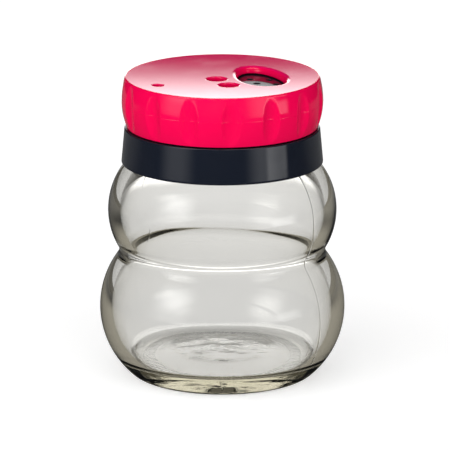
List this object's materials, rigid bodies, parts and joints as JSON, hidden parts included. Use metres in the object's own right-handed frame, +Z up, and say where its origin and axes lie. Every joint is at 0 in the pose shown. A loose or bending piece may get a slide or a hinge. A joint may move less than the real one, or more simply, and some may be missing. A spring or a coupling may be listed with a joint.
{
  "type": "salt shaker",
  "caption": "Clear glass salt shaker with two rounded bulges, a dark screw collar with a sifter deck and a pink turning dial that selects a pouring window, shaker holes or closed.",
  "frame": {"origin": "centre of the ring that the jar rests on, on the table", "axes": "+Z up along the jar's axis, -Y towards the front, +X to the right seen from the front"},
  "size_m": [0.073, 0.073, 0.091],
  "materials": {
    "clear_glass": "clear, smooth",
    "seal_rubber": "soft off-white",
    "navy_plastic": "glossy moulded",
    "pink_plastic": "glossy moulded"
  },
  "bodies": {
    "jar": {"glass_jar": "clear_glass"},
    "seal": {"seal_ring": "seal_rubber"},
    "collar": {"screw_collar": "navy_plastic"},
    "dial": {"selector_dial": "pink_plastic"}
  },
  "joints": [
    {"name": "lid_lift", "type": "slide", "parent": "jar", "child": "seal", "axis": [0, 0, 1], "range_m": [0, 0.0023]},
    {"name": "lid_turn", "type": "hinge", "parent": "seal", "child": "collar", "pos_m": [0, 0, 0.0745], "axis": [0, 0, 1], "range_deg": [0, 270]},
    {"name": "dial_turn", "type": "hinge", "parent": "collar", "child": "dial", "pos_m": [0, 0, 0.0885], "axis": [0, 0, 1], "continuous": true}
  ],
  "couplings": [
    {"joint": "lid_lift", "follows": "lid_turn", "m_per_rad": 0.00047746}
  ]
}
